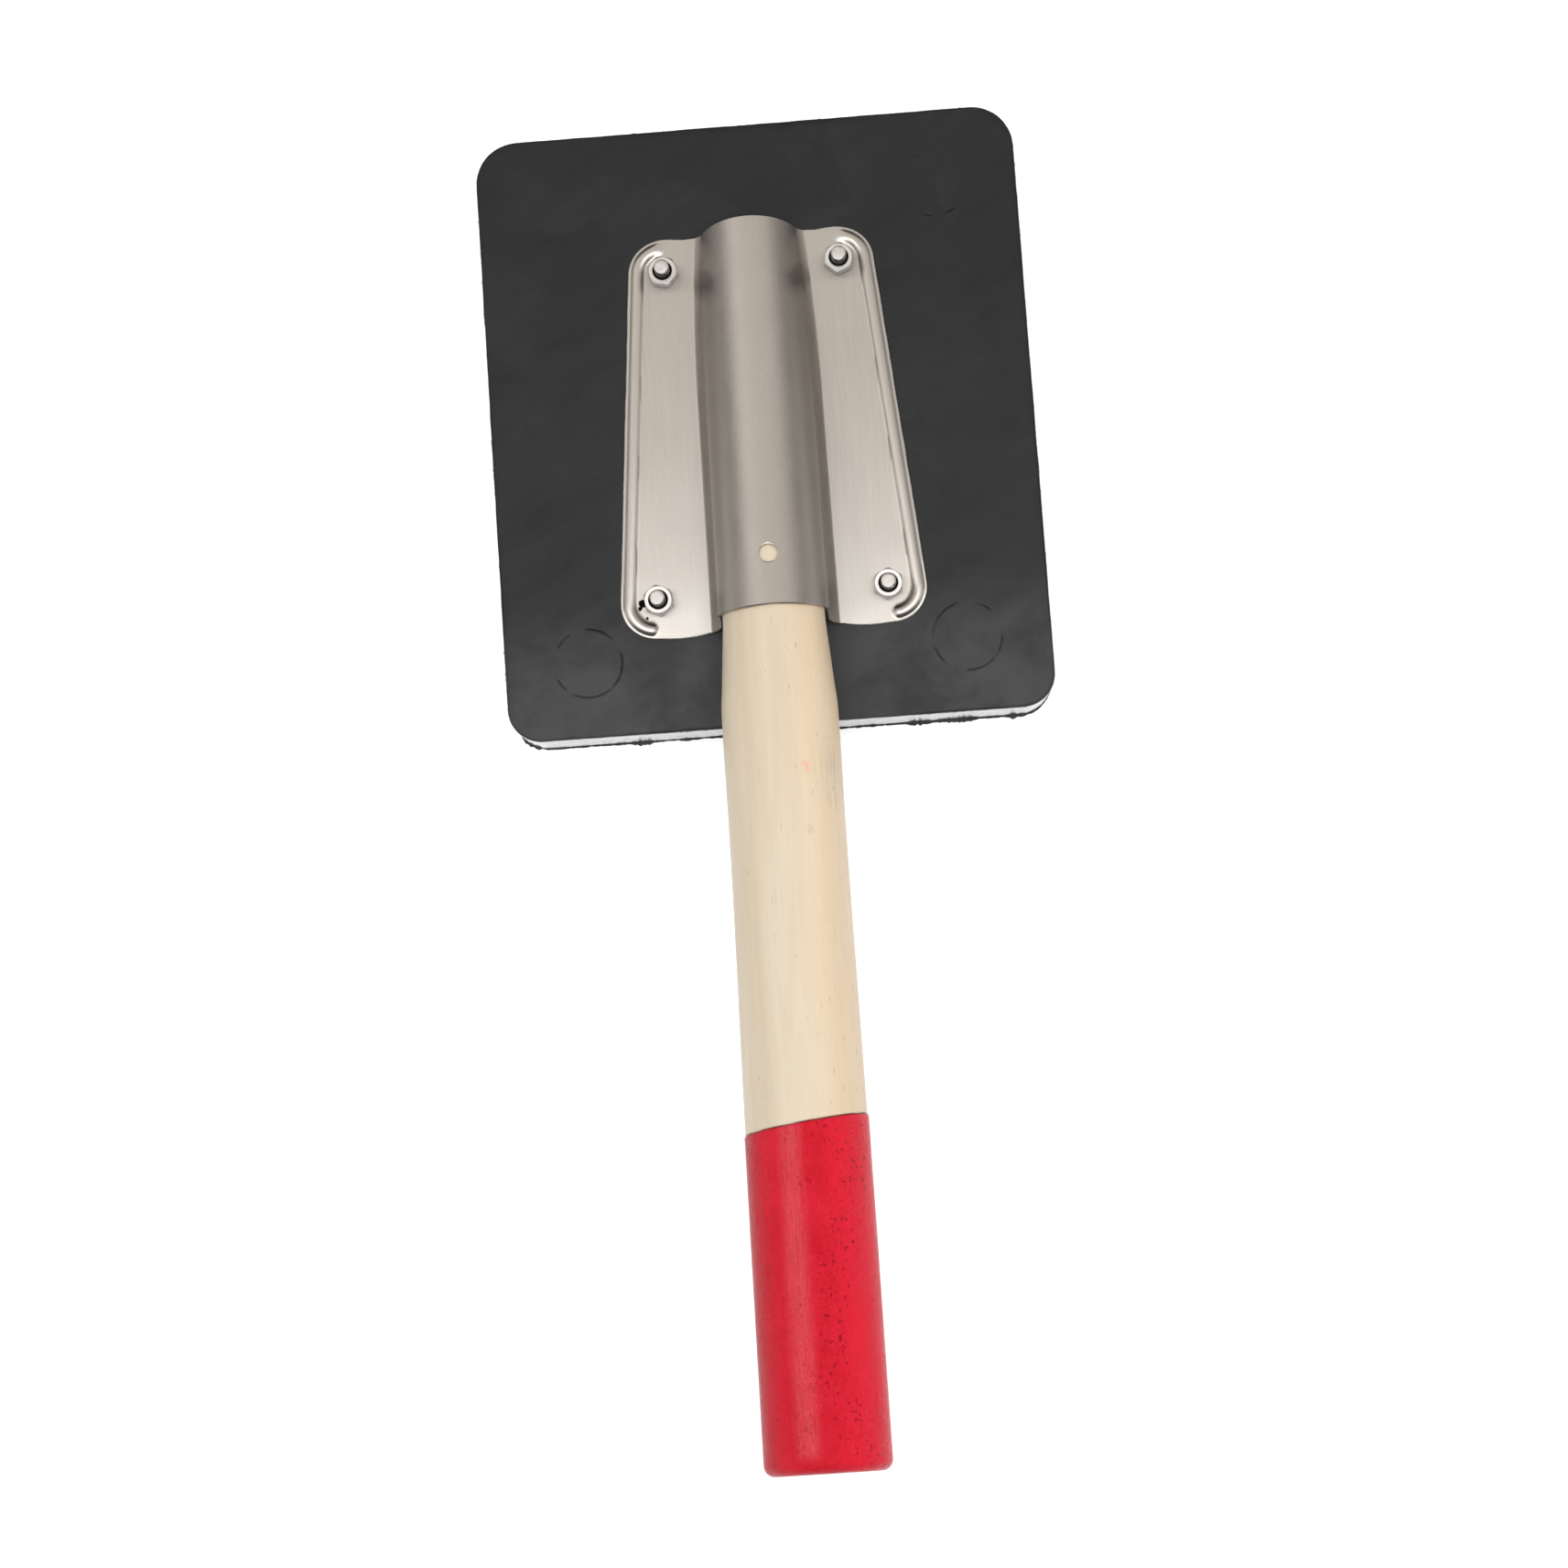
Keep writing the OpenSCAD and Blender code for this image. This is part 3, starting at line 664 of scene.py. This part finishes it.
def socket_section(v):
    """Half of the bracket's section at station v along the pad, from the crown to the edge
    of the flange: x, height over the flange, lean, and distance from the crease."""
    n_arc, n_wall, n_flange = 26, 38, 56
    way = (v - FLANGE_NEAR_Y) / (FLANGE_FAR_Y - FLANGE_NEAR_Y)
    lean = MOUTH_LEAN + (TOE_LEAN - MOUTH_LEAN) * way
    shrink = 1 / (1 + lean * math.tan(TILT))
    squash = shrink / math.cos(TILT)
    axis_h = (MOUTH[2] - FLANGE_TOP - (v - FLANGE_NEAR_Y) * math.tan(TILT)) * shrink / squash
    fillet = 3.3 - 0.7 * way
    if axis_h > fillet:
        foot_x, join = SOCKET_R + fillet, math.pi / 2
    else:
        foot_x = math.sqrt((SOCKET_R + fillet) ** 2 - (fillet - axis_h) ** 2)
        join = math.atan2(foot_x, fillet - axis_h)
    # crown to the widest line, closer together near that line
    turn = join * np.sin(np.linspace(0, 1, n_arc) * math.pi / 2) ** 0.9
    arc = np.column_stack([SOCKET_R * np.sin(turn), axis_h + SOCKET_R * np.cos(turn)])
    # down the wall and around the concave corner, by length
    wall_drop = max(0.0, axis_h - fillet)
    sweep = math.pi / 2 if axis_h > fillet else join
    bend = fillet * sweep
    share = 0.4 * wall_drop / (wall_drop + 1.5)
    part = np.linspace(0, 1, n_wall + 1)[1:]
    down = wall_drop * np.minimum(part / max(share, 1e-6), 1)
    s = down + bend * np.clip((part - share) / (1 - share), 0, 1)
    start_angle = math.pi + (math.pi / 2 - sweep)
    beta = start_angle + (s - down) / fillet
    wall_x = np.where(s <= wall_drop, SOCKET_R, foot_x + fillet * np.cos(beta))
    wall_h = np.where(s <= wall_drop, axis_h - down, fillet + fillet * np.sin(beta))
    # the press has folded the foot sharply, so that the corner is nearer to a straight slope
    reach, rise = fillet * math.sin(sweep), fillet * (1 - math.cos(sweep))
    t = np.clip((foot_x - wall_x) / reach, 0, 1)
    slope = rise * (np.sqrt(t ** 2 + 0.01) - 0.1) / (math.sqrt(1.01) - 0.1)
    wall_h = np.where(s <= wall_drop, wall_h, 0.25 * wall_h + 0.75 * slope)
    half = flange_half_width(v)
    flat_x = foot_x + (half - foot_x) * np.linspace(0, 1, n_flange + 1)[1:]
    x = np.concatenate([arc[:, 0], wall_x, flat_x])
    h = np.concatenate([arc[:, 1], wall_h, np.zeros(n_flange)])
    along = np.concatenate([(turn - join) * SOCKET_R, s, np.full(n_flange, 99.0)])
    return x, h * squash, lean, along


def edge_waver(x, v):
    """The pressed flanges bow out a little along their two ends, and draw back at the socket."""
    x = np.abs(x)
    near = 0.5 * np.exp(-((x - 19) / 3) ** 2) - 0.4 * np.exp(-((x - 28) / 5) ** 2)
    far = 0.25 * np.exp(-((x - 25) / 3) ** 2) - 0.15 * np.exp(-((x - 20) / 2) ** 2)
    return near * math.exp(-(v - FLANGE_NEAR_Y) / 4) + far * math.exp(-(FLANGE_FAR_Y - v) / 3)


def mouth_cut(h, v):
    """The mouth's edge draws back at the foot of the socket by more than its lean."""
    foot = 1.9 * smoothstep(0, 5, h) * (1 - 0.8 * smoothstep(8, 30, h))
    return foot * math.exp(-(v - FLANGE_NEAR_Y) / 6)


def at_cut_edge(centre, normal):
    """True for the faces of the flanges' cut edge, which get a painted highlight."""
    if centre.z > FLANGE_TOP + 0.6 or abs(normal.z) > 0.93:
        return False
    side = flange_half_width(min(max(centre.y, FLANGE_NEAR_Y), FLANGE_FAR_Y)) - abs(centre.x)
    end = min(centre.y - FLANGE_NEAR_Y, FLANGE_FAR_Y - centre.y)
    return side < 0.2 or (end < 0.3 and abs(centre.x) > 20)


def bracket_stations():
    """Stations along the bracket, closer together at its round corners."""
    zone, close, loose = 10.0, 0.36, 0.85
    near = FLANGE_NEAR_Y + zone * (1 - np.cos(np.linspace(0, math.pi / 2, int(zone / close))))
    far = FLANGE_FAR_Y - zone * (1 - np.cos(np.linspace(math.pi / 2, 0, int(zone / close))))
    middle = np.linspace(near[-1], far[0], int((far[0] - near[-1]) / loose))[1:-1]
    return np.concatenate([near, middle, far])


def bracket_surface():
    """The sheet's upper surface with its creases and beads: rows of points across it."""
    rows = []
    for v in bracket_stations():
        x, h, lean, along = socket_section(v)
        crease = np.exp(-(along / 0.45) ** 2) * smoothstep(46, 33, v)
        x = np.concatenate([-x[::-1], x[1:]])
        h, crease = (np.concatenate([a[::-1], a[1:]]) for a in (h, crease))
        y = v + lean * h + mouth_cut(h, v)
        across = np.clip(1 - (bead_distance(x, y) / BEAD_HALF) ** 2, 0, 1) ** 0.9
        fade_far, fade_near = smoothstep(24, 31, np.abs(x)), smoothstep(31.5, 35.5, np.abs(x))
        bead = BEAD_RISE * across * (h < 0.02) * np.where(y > 0, fade_far, fade_near)
        y = y + edge_waver(x, v) * smoothstep(5, 0, h)
        rows.append(np.column_stack([x + np.sign(x) * 0.5 * crease, y, FLANGE_TOP + h + bead]))
    grid = np.array(rows)
    flat = grid.reshape(-1, 3)
    return (flat + np.outer(0.05 * wobble(flat, 21, 2.2), [0, 0, 1])).reshape(grid.shape)


def surface_normals(grid):
    """The unit normal at each point of the bracket's surface, on its upper side."""
    normal = np.cross(np.gradient(grid, axis=1), np.gradient(grid, axis=0))
    normal /= np.linalg.norm(normal, axis=2, keepdims=True)
    return normal * np.sign(normal[:, grid.shape[1] // 2, 2].mean())


def rim_loops(top, low, normal):
    """Two loops that round the sheet's ragged cut edge, between the rims top and low."""
    along = np.roll(top, -1, axis=0) - np.roll(top, 1, axis=0)
    out = np.cross(along, normal)
    out /= np.linalg.norm(out, axis=1, keepdims=True)
    from_middle = top - np.array([0, (FLANGE_FAR_Y + FLANGE_NEAR_Y) / 2, 0])
    out *= np.sign(np.mean(np.sum(out * from_middle, axis=1)))
    ragged = (0.10 * wobble(top, 6, 3.3) + 0.05 * wobble(top, 1.5, 5.1))[:, None]
    stand_out = (0.2 + ragged) * out
    return top + stand_out - 0.2 * normal, low + stand_out + 0.16 * normal


def drill_bracket(bracket):
    """Cuts the four stud holes, and the crown's screw hole with its small chamfer."""
    for corner in CORNERS:
        low, high = cad_box("stud_" + corner)
        centre = (low + high) / 2
        drill, faces = lathe([(0, -3), (STUD_HOLE_R, -3), (STUD_HOLE_R, 3), (0, 3)], 40)
        cut(bracket, make_mesh("cutter", drill + [centre[0], centre[1], FLANGE_TOP], faces))
    wide = HOLE_R + 0.55
    drill, faces = lathe([(0, 10), (HOLE_R, 10), (HOLE_R, SOCKET_R - 0.14),
                          (wide, SOCKET_R + 0.12), (wide, 20), (0, 20)], 56)
    drill = on_handle(np.column_stack([drill[:, 0], drill[:, 2], drill[:, 1] - HOLE_IN]))
    cut(bracket, make_mesh("cutter", drill, faces))


def build_bracket(material, edge_highlight_material):
    """The pressed socket bracket as one sheet of even thickness, with its holes."""
    grid = bracket_surface()
    normal = surface_normals(grid)
    n_rows, n_cols = grid.shape[:2]
    count = n_rows * n_cols
    rim = [(0, j) for j in range(n_cols)] + [(i, n_cols - 1) for i in range(1, n_rows)]
    rim += [(n_rows - 1, j) for j in range(n_cols - 2, -1, -1)]
    rim += [(i, 0) for i in range(n_rows - 2, 0, -1)]
    rim = [i * n_cols + j for i, j in rim]
    top, low, normal = (a.reshape(-1, 3) for a in (grid, grid - SHEET_T * normal, normal))
    high_loop, low_loop = rim_loops(top[rim], low[rim], normal[rim])
    faces = grid_faces(n_rows, n_cols)
    faces += [f[::-1] for f in grid_faces(n_rows, n_cols, start=count)]
    start, n = 2 * count, len(rim)
    for k in range(n):
        m = (k + 1) % n
        faces.append((rim[k], rim[m], start + m, start + k))
        faces.append((start + k, start + m, start + n + m, start + n + k))
        faces.append((start + n + k, start + n + m, count + rim[m], count + rim[k]))
    points = np.vstack([top, low, high_loop, low_loop])
    bracket = make_mesh("socket_bracket_sheet", points, faces)
    drill_bracket(bracket)
    tidy_shading(bracket, 35)
    return place(bracket, material, "bracket_steel", "socket_bracket", second=edge_highlight_material,
                 where=at_cut_edge)


# ---------------------------------------------------------------- studs and nuts

def build_stud(corner, material, end_material):
    """A headed stud with a real thread above the plate and a rough, slightly rounded end."""
    low, high = cad_box("stud_" + corner)
    centre = (low + high) / 2
    head_r, head_top = (high[0] - low[0]) / 2, low[2] + STUD_HEAD_T
    thread_from = PAD_T - 1.0
    crest, depth, steps = STUD_D / 2 - 0.12, 0.42, 48
    angles = np.linspace(0, 2 * math.pi, steps, endpoint=False)
    rings = [(head_r - 0.4, low[2]), (head_r, low[2] + 0.4), (head_r, head_top - 0.4),
             (head_r - 0.4, head_top), (crest, head_top), (crest, thread_from - 0.2)]
    points = [(r * math.cos(a), r * math.sin(a), z) for r, z in rings for a in angles]
    heights = np.arange(thread_from, high[2] - 0.04, 0.1)
    for z in heights:
        left = high[2] - z
        for a in angles:
            phase = ((z - thread_from) / THREAD_PITCH - a / (2 * math.pi)) % 1.0
            r = crest - depth * (1 - abs(2 * phase - 1)) ** 1.1
            cap = crest - 0.1 - 0.4 * max(0.0, 1 - left / 0.4) ** 2
            points.append((min(r, cap) * math.cos(a), min(r, cap) * math.sin(a), z))
    end_radii = (1.6, 1.1, 0.6)
    for r in end_radii:
        points += [(r * math.cos(a), r * math.sin(a), high[2]) for a in angles]
    n_rings = len(rings) + len(heights) + len(end_radii)
    faces = grid_faces(n_rings, steps, wrap_columns=True)
    ends = ((0, low[2]), (n_rings - 1, high[2]))
    points, faces = close_ends(points, faces, steps, ends)
    points += [centre[0], centre[1], 0]
    end = points[:, 2] > high[2] - 0.35
    points[end, 2] += 0.07 * wobble(points[end], 1.3, 2.0) - 0.05
    stud = make_mesh("stud_" + corner + "_threaded", points, faces, sharp_angle=40)
    end_z = high[2] - 0.3
    return place(stud, material, "fastener_steel", "stud_" + corner, second=end_material,
                 where=lambda c, n: c.z > end_z and n.z > 0.6)


def build_nut(corner, material, gap_material):
    """A hex nut: chamfered on both faces, with painted shade in the open thread around the
    stud and under the nut.
    """
    low, high = cad_box("nut_" + corner)
    centre = (low + high) / 2
    base, height = low[2], high[2] - low[2]
    flat_r = NUT_AF / 2
    steps = 96
    bore, sink = STUD_D / 2 - 0.1, 0.42
    rows = []
    for k in range(steps):
        a = 2 * math.pi * k / steps
        # angle from the middle of the nearest flat
        off = (a + math.pi / 6) % (math.pi / 3) - math.pi / 6
        hex_r = min(flat_r / math.cos(off), flat_r / math.cos(math.pi / 6) - 0.12)
        drop = (hex_r - flat_r * 0.97) * math.tan(math.radians(26))
        rings = [(bore, 0), (hex_r * 0.95, 0), (hex_r * 0.97, 0.24), (hex_r, 0.3),
                 (hex_r, height - drop), (flat_r * 0.97, height),
                 (bore + sink + 0.12, height), (bore + sink, height - 0.06),
                 (bore + sink * 0.8, height - 1.0), (bore, height - 1.2)]
        turn = a + math.radians(NUT_TURN[corner] + 30)
        rows.append([(r * math.cos(turn), r * math.sin(turn), base + z) for r, z in rings])
    points = np.array(rows).reshape(-1, 3) + [centre[0], centre[1], 0]
    faces = grid_faces(steps, len(rows[0]), wrap_rows=True, wrap_columns=True)
    nut = make_mesh("nut_" + corner + "_hex", points, faces, sharp_angle=24)

    def in_gap(c, _):
        """The open thread, and the crevice under the nut, which get painted shade."""
        from_axis = math.hypot(c.x - centre[0], c.y - centre[1])
        return from_axis < bore + sink or c.z < base + 0.22

    return place(nut, material, "fastener_steel", "nut_" + corner, second=gap_material,
                 where=in_gap)


# ---------------------------------------------------------------- handle

def coat_edge(across, up):
    """How far along the handle the coat's slanted edge lies."""
    return COAT_START - COAT_SKEW * across + COAT_RISE * up


def handle_radius(s):
    """Radius of the bare wood: parallel tip, shoulder, waist, and a slow swell to the grip."""
    tip = 14.6
    shoulder = tip + 0.068 * s
    body = WAIST_R + (GRIP_R - WAIST_R) * smoothstep(65, 140, s)
    body = body + 0.1 * np.exp(-((s - 36) / 14) ** 2)
    blend = smoothstep(20, 28, s)
    return np.where(s < 0, tip, shoulder * (1 - blend) + body * blend)


def turned_points(stations, angles, radius_of):
    """Rows of points around the handle, warped so that a row follows the coat's slanted edge."""
    rows = []
    for s in stations:
        follow = math.exp(-((s - COAT_START) / 22.0) ** 2)
        across, up = GRIP_R * np.cos(angles), GRIP_R * np.sin(angles)
        along = s + follow * (coat_edge(across, up) - COAT_START)
        r = radius_of(s, along)
        rows.append(np.column_stack([r * np.cos(angles), r * np.sin(angles), along]))
    return np.array(rows)


def end_drop(s, end, round_r):
    """How far a rounded end of radius round_r draws the surface in at s."""
    into = (s - (end - round_r)) / round_r
    return round_r * (1 - math.sqrt(max(0.0, 1 - into ** 2))) if into > 0 else 0.0


def build_handle(material):
    """The wooden handle, its tip cut flat where it lies on the pad."""
    steps = 128
    under_coat = 0.05                  # how much thinner the wood is there
    tip_chamfer = 1.5
    end, end_round = REACH - COAT_T, END_ROUND - COAT_T
    angles = np.linspace(0, 2 * math.pi, steps, endpoint=False)
    stations = np.concatenate([
        [-TIP_L, -TIP_L + 0.4, -TIP_L + tip_chamfer],
        np.linspace(-TIP_L + 6, -4, 18),
        np.linspace(-1.5, 30, 26),
        np.linspace(33, COAT_START - 3, 36),
        COAT_START + np.array([-1, -0.2, 0.1, 2]),
        np.linspace(COAT_START + 6, REACH - 8, 12),
        end - end_round * (1 - np.sin(np.linspace(0, math.pi / 2, 6)))])

    def radius_of(s, along):
        r = handle_radius(along) + 0.04 * np.sin(along / 19.0)
        r = r - (under_coat if s > COAT_START else 0)
        if s < -TIP_L + tip_chamfer:
            r = r - (tip_chamfer - (s + TIP_L))
        return r - end_drop(s, end, end_round)

    grid = turned_points(stations, angles, radius_of)
    points = grid.reshape(-1, 3)
    waves = 0.06 * wobble(points * [1, 1, 0.12], 7, 1.7)
    waves += 0.02 * wobble(points * [1, 1, 0.3], 2.1, 8.8)
    points[:, :2] *= 1 + (waves / GRIP_R)[:, None]
    faces = grid_faces(len(stations), steps, wrap_columns=True)
    ends = ((0, -TIP_L), (len(stations) - 1, stations[-1]))
    points, faces = close_ends(points, faces, steps, ends)
    handle = make_mesh("wooden_handle", on_handle(points), faces)
    bm = bmesh.new()
    bm.from_mesh(handle.data)
    deck = PAD_T + 0.12
    bmesh.ops.bisect_plane(bm, geom=bm.verts[:] + bm.edges[:] + bm.faces[:], dist=1e-6,
                           plane_co=(0, 0, deck * MM), plane_no=(0, 0, 1),
                           clear_inner=True)
    bmesh.ops.holes_fill(bm, edges=[e for e in bm.edges if e.is_boundary])
    bm.to_mesh(handle.data)
    bm.free()
    tidy_shading(handle, 40)
    return place(handle, material, "bare_wood", "handle")


def build_coat(material):
    """The dipped coat: a thin shell with a soft rolled edge, small runs and pimples."""
    steps = 160
    angles = np.linspace(0, 2 * math.pi, steps, endpoint=False)
    edge = COAT_START
    outer = np.concatenate([
        edge + np.array([0, 0.12, 0.35, 0.8, 1.6]),
        np.arange(edge + 3, REACH - 4, 1.1),
        REACH - END_ROUND * (1 - np.sin(np.linspace(0, math.pi / 2, 10)))])
    inner = outer[::-1]

    def outer_radius(s, along):
        r = np.full(len(along), GRIP_R + COAT_T)
        r = r - 0.3 * max(0.0, 1 - (s - edge) / 0.4)
        return r - end_drop(s, REACH, END_ROUND)

    def inner_radius(s, along):
        """The lining, drawn towards the skin at the coat's rolled edge."""
        return outer_radius(s, along) - COAT_T * (0.35 if s <= edge + 0.01 else 1.0)

    skin = turned_points(outer, angles, outer_radius).reshape(-1, 3)
    roll = 0.035 * wobble(skin * [1, 1, 0.25], 5, 4.1)
    pimples = np.array([noise.noise(Vector(p) / 1.7) for p in skin])
    roll += 0.14 * np.clip(pimples - 0.42, 0, 1)
    edge_wave = 0.35 * np.exp(-((skin[:, 2] - edge) / 2.0) ** 2)
    skin[:, 2] += edge_wave * wobble(skin * [1, 1, 0], 6, 2.6)
    skin[:, :2] *= 1 + (roll / GRIP_R)[:, None]
    lining = turned_points(inner, angles, inner_radius).reshape(-1, 3)
    lining[:, 2] = np.minimum(lining[:, 2], REACH - COAT_T)
    count = len(outer)
    faces = grid_faces(2 * count, steps, wrap_columns=True, wrap_rows=True)
    points = np.vstack([skin, lining])
    # the two end discs meet their own centres in place of the strip between them
    strip = set(range((count - 1) * steps, count * steps))
    faces = [f for f in faces if not (f[0] in strip and f[3] >= count * steps)]
    ends = ((count - 1, REACH), (count, REACH - COAT_T))
    points, faces = close_ends(points, faces, steps, ends)
    coat = make_mesh("dipped_coat", on_handle(points), faces, sharp_angle=50)
    return place(coat, material, "red_coat", "dip_coat")


# ---------------------------------------------------------------- the piece list

# crumbs stuck beside the near left nut: centre, radius
CRUMBS = (((-38.3, -51.7, FLANGE_TOP), 2.1),
          ((-39.1, -53.2, FLANGE_TOP), 1.2),
          ((-37.2, -56.2, FLANGE_TOP), 0.7))
NO_GRAIN = (1, 1, 1)
rubber = rubber_material()
# painted shade: the steep faces of the bracket and the fasteners are made darker
bracket_steel = steel_material("bracket_steel", (0.436, 0.395, 0.354), 0.32, steep_shade=0.9,
                               marks=CRUMBS)
fastener_steel = steel_material("fastener_steel", (0.50, 0.465, 0.435), 0.36, NO_GRAIN, steep_shade=0.4)
plate_steel = steel_material("plate_steel", (0.45, 0.46, 0.47), 0.4)
# painted highlight: the flanges' cut edge is coloured far paler than the sheet
edge_highlight_steel = steel_material("edge_highlight_steel", (0.85, 0.81, 0.77), 0.50, NO_GRAIN)
stud_end_steel = steel_material("stud_end_steel", (0.46, 0.425, 0.39), 0.5, NO_GRAIN)
# painted shade for the nuts' open threads and the crevices under them
gap_shade = gap_shade_material()

build_pad(rubber, rubber_side_material())
build_flash("lower_flash", 0.55, lower_flash_reach, 0.5, rubber)
build_flash("upper_flash", PAD_T - 0.9, upper_flash_reach, 0.3, rubber)
build_bracket(bracket_steel, edge_highlight_steel)
for corner in CORNERS:
    build_stud(corner, fastener_steel, stud_end_steel)
    build_nut(corner, fastener_steel, gap_shade)
build_handle(wood_material())
build_coat(coat_material())
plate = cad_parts["insert_plate"]
plate.data.materials.clear()
plate.data.materials.append(plate_steel)


# ---------------------------------------------------------------- stage, light and camera

ROOM_STRENGTH, BACKDROP_STRENGTH = 0.14, 0.8
LENS, SENSOR = 58.95, 36.0
CAMERA_AT = (19.84, -177.35, 760.83)
CAMERA_TURN = (5.272, 1.970, -3.964)   # degrees: nearly straight down


def build_floor():
    """The table, just under the working face."""
    half, drop = 2500, 0.05
    corners = ((-half, -half), (half, -half), (half, half), (-half, half))
    points = [(x, y, -drop) for x, y in corners]
    floor = make_mesh("floor", points, [(0, 1, 2, 3)])
    floor.data.materials.append(floor_material())


def build_world():
    """A dim room around the bright table, which the camera itself sees as pale."""
    world = bpy.data.worlds.new("world")
    world.use_nodes = True
    tree = world.node_tree
    background = tree.nodes["Background"]
    seen = tree.nodes.new("ShaderNodeLightPath").outputs["Is Camera Ray"]
    strength = tree.nodes.new("ShaderNodeMapRange")
    strength.inputs["To Min"].default_value = ROOM_STRENGTH
    strength.inputs["To Max"].default_value = BACKDROP_STRENGTH
    tree.links.new(seen, strength.inputs["Value"])
    tree.links.new(strength.outputs[0], background.inputs["Strength"])
    background.inputs["Color"].default_value = (1, 1, 1, 1)
    bpy.context.scene.world = world


def add_light(name, place_mm, size_mm, radiance, colour=(1, 1, 1), reflects=True):
    """A flat panel light that faces straight down. One that doesn't reflect only lifts
    what is matt, and leaves no mirror image in the metal."""
    data = bpy.data.lights.new(name, "AREA")
    data.shape, data.size, data.size_y = "RECTANGLE", size_mm[0] * MM, size_mm[1] * MM
    data.energy, data.color = radiance * math.pi * data.size * data.size_y, colour
    light = bpy.data.objects.new(name, data)
    light.location = Vector(place_mm) * MM
    light.visible_glossy = reflects
    bpy.context.scene.collection.objects.link(light)


def add_camera():
    """The camera, which looks down on the tool from over its handle."""
    data = bpy.data.cameras.new("camera")
    data.sensor_width, data.lens = SENSOR, LENS
    data.clip_end = 20
    camera = bpy.data.objects.new("camera", data)
    camera.location = Vector(CAMERA_AT) * MM
    camera.rotation_euler = [math.radians(a) for a in CAMERA_TURN]
    bpy.context.scene.collection.objects.link(camera)
    bpy.context.scene.camera = camera


build_floor()
add_light("ceiling", (0, 800, 1500), (4800, 2800), 0.95, (1.0, 0.98, 0.95))
add_light("strip", (-1130, 500, 1480), (420, 2400), 1.3)
add_light("above_camera", (0, -350, 1460), (1400, 1020), 3.3, (0.93, 1.0, 1.05))
add_light("lift", (900, -300, 1700), (1800, 1800), 0.25, reflects=False)
build_world()
bpy.context.scene.view_settings.view_transform = "Standard"
add_camera()
